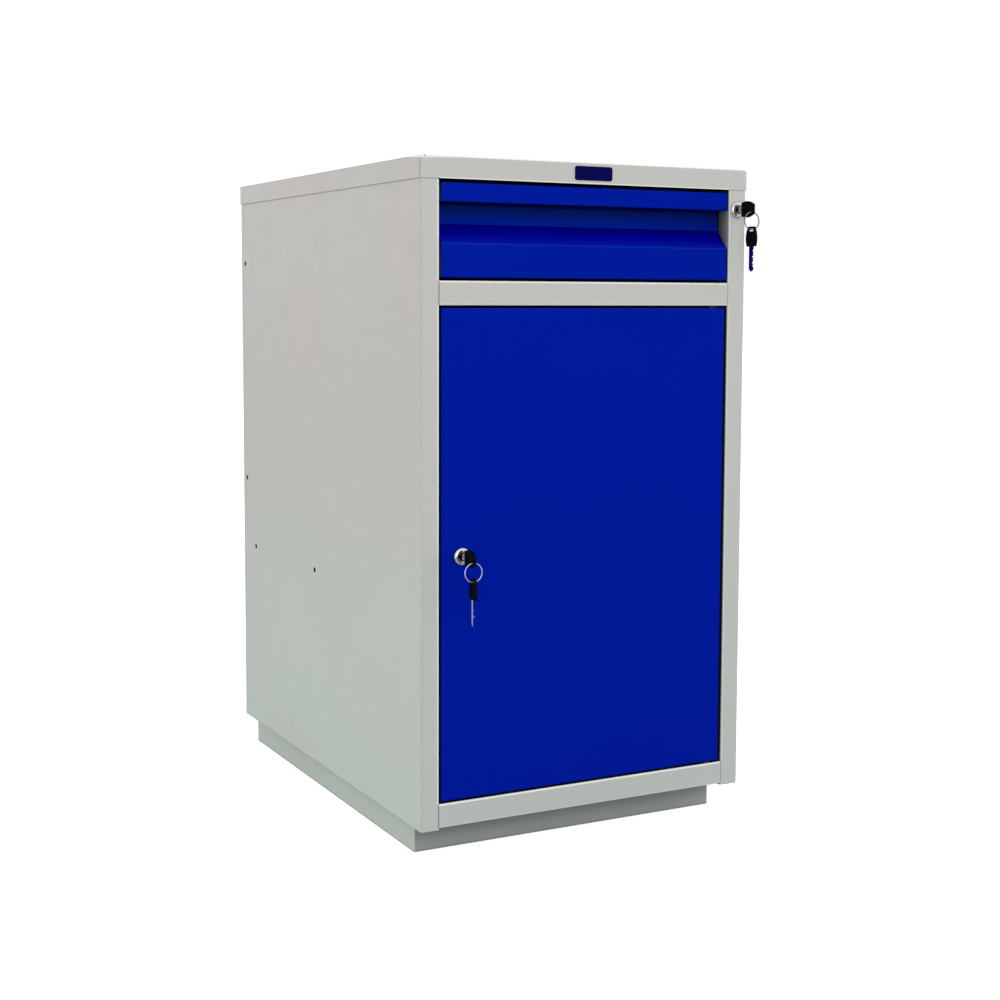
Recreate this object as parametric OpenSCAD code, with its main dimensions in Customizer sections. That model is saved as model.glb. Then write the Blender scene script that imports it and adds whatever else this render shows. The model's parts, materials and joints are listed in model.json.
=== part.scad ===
// Tool drawer cabinet: a folded sheet steel pedestal with one full-width drawer over a locked door.
// X runs to the right as seen from the front, Y runs to the back and Z up.
// The origin is on the floor, under the middle of the body. All lengths are in millimetres.

/* [Body] */
// Width over the two side panels
body_w = 400; // [370:1:460]
// Depth from the face of the stiles to the back
body_d = 558; // [548:1:640]
// Height of the side panels, from the plinth to the lower edge of the cap
body_h = 676; // [560:1:760]
// Thickness of the body sheet
sheet = 1; // [0.8:0.1:1.4]
// Outside radius of the folds
fold_r = 2; // [1.6:0.1:3]
// Width of the left stile
stile_left_w = 21; // [19:0.5:30]
// Width of the right stile, which carries the drawer's lock
stile_right_w = 22.7; // [21.5:0.1:30]
// Depth of the return folded back from each stile
stile_return = 19; // [14:0.5:19.5]
// Width of the flange folded in along the back of each side panel
rear_flange = 18; // [12:1:30]
// Width of the foot flange folded in under each side panel
foot_flange = 25; // [20:1:32]
// Thickness of the back panel
back_sheet = 0.8; // [0.6:0.1:1.2]

/* [Cap] */
// Height of the cap's skirt
cap_h = 23; // [18:0.5:40]
// Overhang of the cap beyond each side panel
cap_side_over = 1.2; // [1.2:0.1:1.6]
// Overhang of the cap beyond the stiles and the back
cap_front_over = 0.6; // [0.4:0.1:1.2]
// Width of the return folded in along the cap's lower front edge
cap_return = 12; // [8:1:20]
// Width of the bare plate on the cap
plate_w = 46; // [30:1:80]
// Height of the bare plate on the cap
plate_h = 15; // [10:0.5:16]
// Sideways shift of the plate from the middle of the body
plate_x = 1.8; // [-20:0.2:20]

/* [Plinth] */
// Height of the plinth
plinth_h = 35; // [25:1:120]
// How far the plinth stands back from the stiles
plinth_front_set = 41.5; // [20:0.5:60]
// How far the plinth stands in from each side
plinth_side_set = 11; // [5:0.5:14]
// How far the plinth stands in from the back
plinth_back_set = 15.2; // [5:0.2:30]
// Thickness of the plinth's sheet
plinth_sheet = 1.5; // [1.2:0.1:2]
// Inner radius of the plinth's upright bends
plinth_bend = 0.3; // [0.2:0.1:3]
// Width of the lips turned in at the plinth's foot and head
plinth_lip = 15; // [12:1:30]

/* [Rails] */
// Height of the bottom rail
bottom_rail_h = 25.9; // [22:0.1:50]
// How far the bottom rail's lower edge lies above the foot of the stiles
bottom_rail_lift = 1.7; // [0.5:0.1:4]
// Height of the rail between the drawer and the door
mid_rail_h = 25.5; // [20:0.5:40]
// Depth of the rails' folded returns
rail_depth = 25; // [22:1:32]

/* [Drawer] */
// Height of the opening for the drawer, from the mid rail to the cap
drawer_bay_h = 103.1; // [98:0.1:140]
// Gap between the drawer front and each stile
drawer_side_gap = 2; // [1.5:0.1:3]
// Gap above the drawer front
drawer_gap_top = 3.5; // [2:0.1:5]
// Gap below the drawer front
drawer_gap_bottom = 2.8; // [2:0.1:5]
// Thickness of the drawer front's sheet
front_sheet = 1.2; // [1:0.1:1.5]
// Depth of the drawer front, from its face to the liner
front_depth = 25; // [24.5:0.5:30]
// Height of the flush band above the grip
band_h = 19.8; // [14:0.2:26]
// Height of the grip recess's upright back wall
grip_wall_h = 21.7; // [20:0.1:26]
// Height of the slope under the grip
grip_slope_h = 20.6; // [10:0.2:24]
// Depth of the grip recess
grip_depth = 17.5; // [10:0.5:18]
// Height of the drawer's side walls
tray_h = 61; // [56:1:62]
// Height of the drawer's floor above the mid rail
tray_lift = 6.1; // [5:0.1:7]
// Thickness of the drawer's sheet
tray_sheet = 1; // [0.8:0.1:1.2]
// Width of the lip turned in along the drawer's top edges
tray_lip = 8; // [5:0.5:15]
// Width of the lip turned in along the top of the drawer's back
back_lip = 10; // [6:0.5:14]

/* [Slides] */
// Length of each closed slide
slide_len = 500; // [400:5:510]
// How far the drawer runs out
travel = 450; // [300:5:450]
// Height of the slide
slide_h = 45; // [44:0.5:46]
// Thickness of the closed slide
slide_t = 12.7; // [12.4:0.1:13]
// Height of the slide's middle line above the drawer's floor
slide_rise = 28; // [26:0.5:30]
// Radius of the slide's balls
ball_r = 1.6; // [1.4:0.05:1.6]
// Balls in each row of a cage
balls = 8; // [4:1:12]

/* [Door] */
// Gap between the door and the left stile, on the lock side
door_gap_lock = 1.3; // [1:0.1:3]
// Gap between the door and the right stile, on the hinge side
door_gap_hinge = 3.3; // [2.6:0.1:4]
// Gap above and below the door
door_gap = 1.8; // [1.5:0.1:2.5]
// Thickness of the door leaf
door_t = 18; // [17:0.5:18.5]
// Thickness of the door's sheet
door_sheet = 1; // [0.8:0.1:1.2]
// Width of the lip turned in round the back of the door
door_lip = 12; // [8:1:16]
// Distance of the hinge line from the door's edge
hinge_inset = 14; // [13:0.5:14.5]
// Distance of the hinge line behind the door's face
hinge_back = 8; // [7.5:0.25:9]
// Radius of the hinge pins
pin_r = 3; // [2.5:0.25:3.5]

/* [Shelf] */
// Height of the shelf's top above the floor of the cupboard
shelf_rise = 268; // [150:1:400]
// Height of the shelf's folded edges
shelf_edge = 20; // [15:1:30]

/* [Locks] */
// Distance of the drawer lock's axis from the body's right side
drawer_lock_inset = 10.7; // [10.5:0.1:10.9]
// Distance of the drawer lock's axis below the cap
drawer_lock_drop = 22; // [20:0.5:23]
// Distance of the door lock's axis from the door's edge
door_lock_inset = 24.7; // [23:0.1:27]
// Radius of the bezel
bezel_r = 9.5; // [9.2:0.1:9.6]
// How far the bezel stands proud
bezel_proud = 3; // [2.4:0.1:4]
// Radius of the lock's threaded barrel
barrel_r = 7.2; // [6.8:0.1:7.2]
// Length of the barrel behind the sheet's face
barrel_len = 21; // [20.8:0.1:21.4]
// Radius of the turning plug
plug_r = 5; // [4.6:0.1:5.4]
// Reach of the cam from the lock's axis
cam_reach = 34; // [32:0.5:36]
// Thickness of the cam
cam_t = 2; // [1.5:0.1:2]

/* [Keys] */
// Greatest width of the key's head
key_w = 18; // [16:0.5:20]
// Length of the key's head
key_head_len = 22; // [20:0.5:24]
// Thickness of the key's head
key_head_t = 3; // [2.6:0.1:3.2]
// Width of the blade
blade_w = 6.4; // [5.5:0.1:7]
// Length of the blade outside the head
blade_len = 27.5; // [24:0.5:27.5]
// Thickness of the blade
blade_t = 1.9; // [1.6:0.1:2]
// Distance of the key head's shoulder from the face of the stiles and the door
key_out = 8.6; // [7:0.1:9]
// Radius of the key ring, to the middle of its wire
ring_r = 9.6; // [9.4:0.1:11]
// Radius of the key ring's wire
wire_r = 0.75; // [0.6:0.05:0.8]
// Turn of the door's spare key on the ring, in degrees seen from above
door_spare_turn = -7; // [-15:1:15]

/* [Fixing holes] */
// Radius of the holes in the side panels
hole_r = 3; // [2:0.25:5]
// Height of the lower rear hole above the plinth
rear_hole_z = 319; // [300:1:400]
// Spacing of the two rear holes
rear_hole_gap = 280; // [100:5:280]
// Distance of the rear holes from the back
rear_hole_in = 14.6; // [12:0.1:17]
// Height of the lower pair of holes above the plinth
low_hole_z = 232; // [100:1:260]
// Spacing of the lower pair
low_hole_gap = 210; // [100:5:300]
// Distance of the lower pair's rear hole from the back
low_hole_in = 47; // [25:1:120]

/* [Hidden] */

$fn = 48;
// Steps in each fold's arc
fold_steps = 5;
// Clearance between flat neighbours that move, round a turning shaft, and round what is fixed in a hole
slack = 0.3;
shaft_slack = 0.05;
fixed_slack = 0.04;
eps = 0.01;

// Paint and metal colours
grey = [0.74, 0.75, 0.72];
plinth_grey = [0.56, 0.59, 0.56];
blue = [0.0, 0.1, 0.58];
zinc = [0.72, 0.73, 0.74];
chrome = [0.85, 0.85, 0.86];
black = [0.05, 0.05, 0.05];
steel = [0.7, 0.7, 0.72];
navy = [0.04, 0.04, 0.35];
nylon = [0.1, 0.1, 0.11];
oxide = [0.2, 0.2, 0.21];

// Main planes of the body
x_left = -body_w / 2;
x_right = body_w / 2;
y_front = -body_d / 2;
y_back = body_d / 2;
z_foot = plinth_h;
z_cap = plinth_h + body_h;
z_top = z_cap + cap_h;
x_open_left = x_left + stile_left_w;
x_open_right = x_right - stile_right_w;
x_open_mid = (x_open_left + x_open_right) / 2;

// Rails and floors
z_rail_low = z_foot + bottom_rail_lift;
z_rail_top = z_rail_low + bottom_rail_h;
z_mid_top = z_cap - drawer_bay_h;
z_mid_low = z_mid_top - mid_rail_h;
y_inside = y_front + stile_return + 1;
y_back_inner = y_back - sheet - back_sheet;
y_pan_back = min(y_back_inner, y_back - fold_r);
floor_edge = 20;
divider_edge = 12;

// Drawer
drawer_x0 = x_open_left + drawer_side_gap;
drawer_x1 = x_open_right - drawer_side_gap;
drawer_z0 = z_mid_top + drawer_gap_bottom;
drawer_z1 = z_cap - drawer_gap_top;
z_tray = z_mid_top + tray_lift;
y_tray = y_front + front_depth + tray_sheet;
y_tray_back = y_tray + slide_len;
slide_gap = 1;
slide_half = (x_open_right - x_open_left) / 2 - slide_gap;
tray_half = slide_half - slide_t;
tray_x0 = x_open_mid - tray_half;
tray_x1 = x_open_mid + tray_half;
slide_z = z_tray + slide_rise;

// Sections of the slide's three members, across the slide and up
race_gap = slack;
outer_sheet = 1.5;
outer_depth = 11;
middle_x = 3;
middle_end = 10.5;
inner_x = 6;
middle_half = slide_h / 2 - outer_sheet - 2 * ball_r - 2 * race_gap;
inner_half = middle_half - outer_sheet - 2 * ball_r - 2 * race_gap;
outer_ball_v = middle_half + race_gap + ball_r;
inner_ball_v = inner_half + race_gap + ball_r;
outer_ball_u = 7;
inner_ball_u = 8.3;
cage_sheet = 0.6;
cage_margin = 8;
cage_start = travel / 4 + cage_margin;
cage_len = slide_len - travel / 2 - 2 * cage_margin;
bracket_h = slide_h - 5;
bracket_sheet = 1.5;
screw_r = 2.5;
screw_inset = 40;
screw_steps = 3;

// Door
door_x0 = x_open_left + door_gap_lock;
door_x1 = x_open_right - door_gap_hinge;
door_z0 = z_rail_top + door_gap;
door_z1 = z_mid_low - door_gap;
hinge_x = door_x1 - hinge_inset;
hinge_y = y_front + hinge_back;
pin_len = 10;
pin_head_r = pin_r + 2;
pin_head_h = 2;
bush_wall = 1.5;
bush_flange_r = pin_r + 3.5;
bush_flange_h = 0.6;
bush_len = 7;

// Locks, keys and rings
drawer_lock = [x_right - drawer_lock_inset, y_front, z_cap - drawer_lock_drop];
door_lock = [door_x0 + door_lock_inset, y_front, (door_z0 + door_z1) / 2];
nut_flats = 2 * (drawer_lock_inset - sheet) - 2;
nut_h = 4;
cam_w = 14;
cam_hub_r = 8.5;
stud = 6;
stud_r = 2.5;
cam_nut_h = 3;
cam_nut_flats = 8;
keyway_slack = 0.2;
keyway_end = barrel_len - 0.2;
tang_len = 6;
eye_half = 0.29 * key_w;
eye_len = 2.8;
eye_in = 2.4;
eye_l = key_head_len - eye_in - eye_len / 2;
ring_drop = 3.5;
spare_wire_in = 3.5;
ring_y = -key_out - eye_l;
ring_z = -ring_drop - ring_r;
spare_z = ring_z - ring_r - (key_head_len - spare_wire_in);
// Depths of the cuts along the blade
cuts = [1.5, 1.0, 2.2, 1.3, 2.4, 1.7];
cut_first = 4.5;
cut_pitch = 3.3;

// A box between two corners
module block(x, y, z)
    translate([x[0], y[0], z[0]])
        cube([x[1] - x[0], y[1] - y[0], z[1] - z[0]]);

// A drawing of (y, z) points pushed along X
module along_x(x0, x1)
    translate([x0, 0, 0])
        rotate([90, 0, 90])
            linear_extrude(x1 - x0)
                children();

// A drawing of (x, z) points pushed along Y
module along_y(y0, y1)
    translate([0, y1, 0])
        rotate([90, 0, 0])
            linear_extrude(y1 - y0)
                children();

// A round bar along Y
module bar_y(r, y0, y1)
    translate([0, y0, 0])
        rotate([-90, 0, 0])
            cylinder(r = r, h = y1 - y0);

// Folded sheet: a line of points on one face, with every corner rounded and the sheet to one side
function unit(v) = v / norm(v);
function left_of(v) = [-v.y, v.x];
function reversed(list) = [for (i = [len(list) - 1 : -1 : 0]) list[i]];
function turned(v, angle) = [v.x * cos(angle) - v.y * sin(angle), v.x * sin(angle) + v.y * cos(angle)];
function fold_arc(p0, p1, p2, t, side, off) =
    let (
        a = unit(p1 - p0),
        b = unit(p2 - p1),
        way = cross(a, b) >= 0 ? 1 : -1,
        bend = acos(a * b),
        r = way * side > 0 ? fold_r : fold_r - t,
        centre = p1 - a * r * tan(bend / 2) + left_of(a) * way * r,
        arm = -left_of(a) * way * (r - way * off)
    )
    [for (k = [0 : fold_steps]) centre + turned(arm, way * bend * k / fold_steps)];
function face_line(path, t, side, off) =
    let (last = len(path) - 1)
    [
        path[0] + left_of(unit(path[1] - path[0])) * off,
        for (i = [1 : last - 1]) each fold_arc(path[i - 1], path[i], path[i + 1], t, side, off),
        path[last] + left_of(unit(path[last] - path[last - 1])) * off
    ];
module folded(path, t, side = 1)
    polygon(concat(face_line(path, t, side, 0), reversed(face_line(path, t, side, side * t))));

// A rectangle whose two corners on the low y side are rounded
function soft_front(x, y, r) =
    [
        for (k = [0 : fold_steps]) [x[0] + r, y[0] + r] + turned([-r, 0], 90 * k / fold_steps),
        for (k = [0 : fold_steps]) [x[1] - r, y[0] + r] + turned([0, -r], 90 * k / fold_steps),
        [x[1], y[1]],
        [x[0], y[1]]
    ];

// A rectangle with four rounded corners
module round_rect(x, y, r)
    polygon([
        for (c = [[x[0], y[0], 180], [x[1], y[0], 270], [x[1], y[1], 0], [x[0], y[1], 90]])
            let (inward = [c.x == x[0] ? r : -r, c.y == y[0] ? r : -r])
            for (k = [0 : fold_steps])
                [c.x, c.y] + inward + turned([r, 0], c.z + 90 * k / fold_steps)
    ]);

// A sheet with a down-turned edge on all four sides
module pan(x, y, z_high, edge, t)
    difference() {
        block(x, y, [z_high - edge, z_high]);
        block([x[0] + t, x[1] - t], [y[0] + t, y[1] - t], [z_high - edge - 1, z_high - t]);
    }

// Body shell
module side_holes()
    for (spot = [
        [y_back - rear_hole_in, z_foot + rear_hole_z],
        [y_back - rear_hole_in, z_foot + rear_hole_z + rear_hole_gap],
        [y_back - low_hole_in, z_foot + low_hole_z],
        [y_back - low_hole_in - low_hole_gap, z_foot + low_hole_z]
    ])
        translate([x_left - 1, spot.x, spot.y])
            rotate([0, 90, 0])
                cylinder(r = hole_r, h = sheet + 2);

module side_panel(stile_w) {
    x_wall = x_left + sheet;
    y_wall = [y_front + fold_r, y_back - fold_r];
    z_flange = z_top - sheet;
    difference() {
        union() {
            translate([0, 0, z_foot])
                linear_extrude(body_h)
                    folded([
                        [x_left + rear_flange, y_back],
                        [x_left, y_back],
                        [x_left, y_front],
                        [x_left + stile_w, y_front],
                        [x_left + stile_w, y_front + stile_return]
                    ], sheet);
            block([x_left, x_wall], y_wall, [z_cap - eps, z_flange]);
            block([x_left, x_left + rear_flange], y_wall, [z_flange - sheet, z_flange]);
            block([x_wall - eps, x_left + foot_flange], [y_inside, y_pan_back], [z_foot, z_foot + sheet]);
        }
        side_holes();
    }
}

module left_side_panel()
    color(grey)
        side_panel(stile_left_w);

module right_side_panel()
    color(grey)
        difference() {
            mirror([1, 0, 0])
                side_panel(stile_right_w);
            translate(drawer_lock)
                bar_y(barrel_r + fixed_slack, -1, sheet + 1);
        }

module back_panel()
    color(grey)
        block([x_left + fold_r, x_right - fold_r], [y_back_inner, y_back_inner + back_sheet],
            [z_foot + sheet, z_top - 2 * sheet]);

module top_cap() {
    x = [x_left - cap_side_over, x_right + cap_side_over];
    y = [y_front - cap_front_over, y_back + cap_front_over];
    inner_x = [x[0] + sheet, x[1] - sheet];
    inner_y = [y[0] + sheet, y[1] - sheet];
    lip_x = [x_left + sheet + slack, x_right - sheet - slack];
    color(grey) {
        difference() {
            intersection() {
                translate([0, 0, z_cap])
                    linear_extrude(cap_h)
                        round_rect(x, y, fold_r);
                along_x(x[0] - 1, x[1] + 1)
                    polygon([
                        for (p = soft_front([-y[1], -y[0]], [-z_top, -z_cap], fold_r)) [-p.x, -p.y]
                    ]);
                along_y(y[0] - 1, y[1] + 1)
                    polygon([
                        for (p = soft_front([-x[1], -x[0]], [-z_top, -z_cap], fold_r)) [-p.x, -p.y]
                    ]);
            }
            block(inner_x, inner_y, [z_cap - 1, z_top - sheet]);
        }
        block(lip_x, [y[0] + sheet / 2, y[0] + cap_return], [z_cap, z_cap + sheet]);
    }
}

module name_plate() {
    rim = 0.8;
    plate_t = 0.8;
    y_plate = y_front - cap_front_over;
    x = [plate_x - plate_w / 2, plate_x + plate_w / 2];
    z_mid = z_cap + 3.6 + plate_h / 2;
    z = [z_mid - plate_h / 2, z_mid + plate_h / 2];
    color(navy)
        difference() {
            along_y(y_plate - plate_t, y_plate)
                round_rect(x, z, 2.5);
            along_y(y_plate - plate_t - 1, y_plate - plate_t + 0.3)
                round_rect([x[0] + rim, x[1] - rim], [z[0] + rim, z[1] - rim], 2);
        }
}

module plinth() {
    x = [x_left + plinth_side_set, x_right - plinth_side_set];
    y = [y_front + plinth_front_set, y_back - plinth_back_set];
    t = plinth_sheet;
    color(plinth_grey)
        difference() {
            linear_extrude(plinth_h)
                round_rect(x, y, plinth_bend + t);
            translate([0, 0, t])
                linear_extrude(plinth_h - 2 * t)
                    round_rect([x[0] + t, x[1] - t], [y[0] + t, y[1] - t], plinth_bend);
            block([x[0] + plinth_lip, x[1] - plinth_lip], [y[0] + plinth_lip, y[1] - plinth_lip],
                [-1, plinth_h + 1]);
        }
}

module bottom_panel()
    color(grey)
        pan([x_left + sheet, x_right - sheet], [y_inside, y_pan_back], z_rail_top - sheet, floor_edge, sheet);

module divider_panel()
    color(grey)
        pan([x_left + sheet, x_right - sheet], [y_inside, y_pan_back], z_mid_top - sheet, divider_edge, sheet);

module rail(z)
    along_x(x_open_left, x_open_right)
        folded([
            [y_front + rail_depth, z[1]],
            [y_front, z[1]],
            [y_front, z[0]],
            [y_front + rail_depth, z[0]]
        ], sheet);

module bottom_rail()
    color(grey)
        difference() {
            rail([z_rail_low, z_rail_top]);
            translate([hinge_x, hinge_y, z_rail_top - sheet - 1])
                cylinder(r = pin_r + fixed_slack, h = sheet + 2);
        }

module mid_rail()
    color(grey)
        difference() {
            rail([z_mid_low, z_mid_top]);
            translate([hinge_x, hinge_y, z_mid_low - 1])
                cylinder(r = pin_r + fixed_slack, h = sheet + 2);
        }

// Shelf, carried on a folded angle along each side
z_shelf = z_rail_top + shelf_rise;
shelf_front_set = 40;
bearer_w = 16;
bearer_sheet = 1.2;
shelf_gap = 1.5;
bearer_front_in = 10;
bearer_back_in = 20;

module shelf()
    color(grey)
        pan([x_left + sheet + shelf_gap, x_right - sheet - shelf_gap],
            [y_front + shelf_front_set, y_back_inner - shelf_gap], z_shelf, shelf_edge, sheet);

module bearer()
    along_y(y_front + shelf_front_set + bearer_front_in, y_back_inner - bearer_back_in)
        folded([
            [x_left + sheet + bearer_w, z_shelf - shelf_edge],
            [x_left + sheet, z_shelf - shelf_edge],
            [x_left + sheet, z_shelf - shelf_edge - bearer_w]
        ], bearer_sheet);

module shelf_bearers()
    color(grey) {
        bearer();
        mirror([1, 0, 0])
            bearer();
    }

// Slides. Each is drawn with x running inboard from its outer face and z up from its middle line.
module at_left_slide()
    translate([x_open_mid - slide_half, 0, slide_z])
        children();

module at_right_slide()
    translate([x_open_mid + slide_half, 0, slide_z])
        mirror([1, 0, 0])
            children();

// A channel section between two depths, open on its low or high side
module channel(x, half, t, open_low)
    difference() {
        translate([x[0], -half])
            square([x[1] - x[0], 2 * half]);
        translate([open_low ? x[0] - 1 : x[0] + t, -half + t])
            square([x[1] - x[0] - t + 1, 2 * half - 2 * t]);
    }

module screw_spots()
    for (k = [0 : screw_steps - 1])
        translate([0, y_tray + screw_inset + k * (slide_len - 2 * screw_inset) / (screw_steps - 1), 0])
            children();

// A round bar along X
module bar_x(r, x0, x1)
    translate([x0, 0, 0])
        rotate([0, 90, 0])
            cylinder(r = r, h = x1 - x0);

module slide_bracket(wall)
    difference() {
        along_y(y_tray, y_tray + slide_len)
            difference() {
                translate([-wall, -bracket_h / 2])
                    square([wall, bracket_h]);
                translate([-wall - 1, -bracket_h / 2 + bracket_sheet])
                    square([wall - bracket_sheet + 1, bracket_h - 2 * bracket_sheet]);
            }
        screw_spots()
            bar_x(screw_r + fixed_slack, -bracket_sheet - 1, 1);
    }

module slide_bracket_left()
    color(grey)
        at_left_slide()
            slide_bracket(x_open_mid - slide_half - x_left - sheet);

module slide_bracket_right()
    color(grey)
        at_right_slide()
            slide_bracket(x_right - sheet - x_open_mid - slide_half);

module slide_outer()
    difference() {
        along_y(y_tray, y_tray + slide_len)
            channel([0, outer_depth], slide_h / 2, outer_sheet, false);
        screw_spots()
            bar_x(screw_r + fixed_slack, -1, outer_sheet + 1);
    }

module slide_outer_left()
    color(zinc)
        at_left_slide()
            slide_outer();

module slide_outer_right()
    color(zinc)
        at_right_slide()
            slide_outer();

module bracket_screw_row()
    screw_spots() {
        bar_x(screw_r, -bracket_sheet - 4, outer_sheet);
    }

module bracket_screws()
    color(zinc) {
        at_left_slide()
            bracket_screw_row();
        at_right_slide()
            bracket_screw_row();
    }

module slide_middle()
    along_y(y_tray, y_tray + slide_len)
        channel([middle_x, middle_end], middle_half, outer_sheet, false);

module slide_middle_left()
    color(zinc)
        at_left_slide()
            slide_middle();

module slide_middle_right()
    color(zinc)
        at_right_slide()
            slide_middle();

module slide_inner()
    difference() {
        along_y(y_tray, y_tray + slide_len)
            channel([inner_x, slide_t], inner_half, outer_sheet, true);
        screw_spots()
            bar_x(screw_r + fixed_slack, slide_t - outer_sheet - 1, slide_t + 1);
    }

module slide_inner_left()
    color(zinc)
        at_left_slide()
            slide_inner();

module slide_inner_right()
    color(zinc)
        at_right_slide()
            slide_inner();

// A cage is a thin channel with a row of balls along each edge
module ball_cage(x, ball_u, ball_v) {
    half = ball_v + cage_sheet / 2;
    along_y(y_tray + cage_start, y_tray + cage_start + cage_len)
        channel([x, ball_u + ball_r + 0.6], half, cage_sheet, false);
    for (k = [0 : balls - 1])
        for (v = [-ball_v, ball_v])
            translate([ball_u, y_tray + cage_start + (k + 0.5) * cage_len / balls, v])
                sphere(r = ball_r);
}

module ball_cages_outer() {
    x = (outer_sheet + middle_x - cage_sheet) / 2;
    color(steel) {
        at_left_slide()
            ball_cage(x, outer_ball_u, outer_ball_v);
        at_right_slide()
            ball_cage(x, outer_ball_u, outer_ball_v);
    }
}

module ball_cages_inner() {
    x = (middle_x + outer_sheet + inner_x - cage_sheet) / 2;
    color(steel) {
        at_left_slide()
            ball_cage(x, inner_ball_u, inner_ball_v);
        at_right_slide()
            ball_cage(x, inner_ball_u, inner_ball_v);
    }
}

// Drawer
module drawer_front() {
    z_band = drawer_z1 - band_h;
    z_wall = z_band - grip_wall_h;
    color(blue)
        along_x(drawer_x0, drawer_x1)
            folded([
                [y_front + front_depth, drawer_z1],
                [y_front, drawer_z1],
                [y_front, z_band],
                [y_front + grip_depth, z_band],
                [y_front + grip_depth, z_wall],
                [y_front, z_wall - grip_slope_h],
                [y_front, drawer_z0],
                [y_front + front_depth, drawer_z0]
            ], front_sheet);
}

module drawer_liner() {
    rim = 8;
    y_rear = y_front + front_depth + tray_sheet;
    color(grey)
        along_x(drawer_x0 + 1.5, drawer_x1 - 1.5)
            folded([
                [y_rear - rim, drawer_z0 + front_sheet],
                [y_rear, drawer_z0 + front_sheet],
                [y_rear, drawer_z1 - front_sheet],
                [y_rear - rim, drawer_z1 - front_sheet]
            ], tray_sheet);
}

module drawer_tray() {
    z_rim = z_tray + tray_h;
    color(grey)
        difference() {
            along_y(y_tray, y_tray_back)
                folded([
                    [tray_x0 + tray_lip, z_rim],
                    [tray_x0, z_rim],
                    [tray_x0, z_tray],
                    [tray_x1, z_tray],
                    [tray_x1, z_rim],
                    [tray_x1 - tray_lip, z_rim]
                ], tray_sheet);
            translate([0, 0, slide_z])
                screw_spots()
                    bar_x(screw_r + fixed_slack, tray_x0 - 1, tray_x1 + 1);
        }
}

module drawer_back() {
    x = [tray_x0 + fold_r, tray_x1 - fold_r];
    z_rim = z_tray + tray_h - tray_sheet;
    color(grey) {
        block(x, [y_tray_back - tray_sheet, y_tray_back], [z_tray + tray_sheet, z_rim]);
        block(x, [y_tray_back - back_lip, y_tray_back], [z_rim - tray_sheet, z_rim]);
    }
}

module drawer_screw_row()
    screw_spots() {
        bar_x(screw_r, slide_t - outer_sheet, slide_t + tray_sheet + eps);
        bar_x(screw_r + 1.5, slide_t + tray_sheet, slide_t + tray_sheet + 1.5);
    }

module drawer_screws()
    color(zinc) {
        at_left_slide()
            drawer_screw_row();
        at_right_slide()
            drawer_screw_row();
    }

// Door
module door_panel() {
    x = [door_x0, door_x1];
    z = [door_z0, door_z1];
    y = [y_front, y_front + door_t];
    t = door_sheet;
    lip = door_lip + t;
    color(blue)
        difference() {
            intersection() {
                translate([0, 0, z[0]])
                    linear_extrude(z[1] - z[0])
                        polygon(soft_front(x, y, fold_r));
                along_x(x[0], x[1])
                    polygon([for (p = soft_front(z, y, fold_r)) [p.y, p.x]]);
            }
            intersection() {
                translate([0, 0, z[0] + t])
                    linear_extrude(z[1] - z[0] - 2 * t)
                        polygon(soft_front([x[0] + t, x[1] - t], [y[0] + t, y[1] - t], fold_r - t));
                along_x(x[0], x[1])
                    polygon([
                        for (p = soft_front([z[0] + t, z[1] - t], [y[0] + t, y[1] - t], fold_r - t)) [p.y, p.x]
                    ]);
            }
            block([x[0] + lip, x[1] - lip], [y[1] - 2 * t, y[1] + 1], [z[0] + lip, z[1] - lip]);
            translate(door_lock)
                bar_y(barrel_r + fixed_slack, -1, t + 1);
            for (low = [z[0] - 1, z[1] - t - 1])
                translate([hinge_x, hinge_y, low])
                    cylinder(r = pin_r + bush_wall, h = t + 2);
        }
}

module door_stiffener() {
    rim = 18;
    half = 20;
    y_skin = y_front + door_sheet;
    y_rear = y_front + door_t - 3;
    color(blue)
        translate([0, 0, door_z0 + fold_r])
            linear_extrude(door_z1 - door_z0 - 2 * fold_r)
                folded([
                    [-half - rim, y_skin],
                    [-half, y_skin],
                    [-half, y_rear],
                    [half, y_rear],
                    [half, y_skin],
                    [half + rim, y_skin]
                ], door_sheet);
}

module hinge_bush()
    difference() {
        union() {
            translate([0, 0, -bush_flange_h])
                cylinder(r = bush_flange_r, h = bush_flange_h);
            cylinder(r = pin_r + bush_wall, h = bush_len);
        }
        translate([0, 0, -bush_flange_h - 1])
            cylinder(r = pin_r + shaft_slack, h = bush_len + bush_flange_h + 2);
    }

module door_hinge_bushes()
    color(nylon) {
        translate([hinge_x, hinge_y, door_z0])
            hinge_bush();
        translate([hinge_x, hinge_y, door_z1])
            mirror([0, 0, 1])
                hinge_bush();
    }

// A headed pin that stands up through a rail
module hinge_pin() {
    translate([0, 0, -sheet - pin_head_h])
        cylinder(r = pin_head_r, h = pin_head_h);
    translate([0, 0, -sheet - eps])
        cylinder(r = pin_r, h = pin_len);
}

module hinge_pin_lower()
    color(oxide)
        translate([hinge_x, hinge_y, z_rail_top])
            hinge_pin();

module hinge_pin_upper()
    color(oxide)
        translate([hinge_x, hinge_y, z_mid_low])
            mirror([0, 0, 1])
                hinge_pin();

module hinge_washer()
    color(oxide)
        translate([hinge_x, hinge_y, z_rail_top])
            difference() {
                cylinder(r = bush_flange_r, h = door_gap - bush_flange_h);
                translate([0, 0, -1])
                    cylinder(r = pin_r + shaft_slack, h = door_gap + 2);
            }

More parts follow.
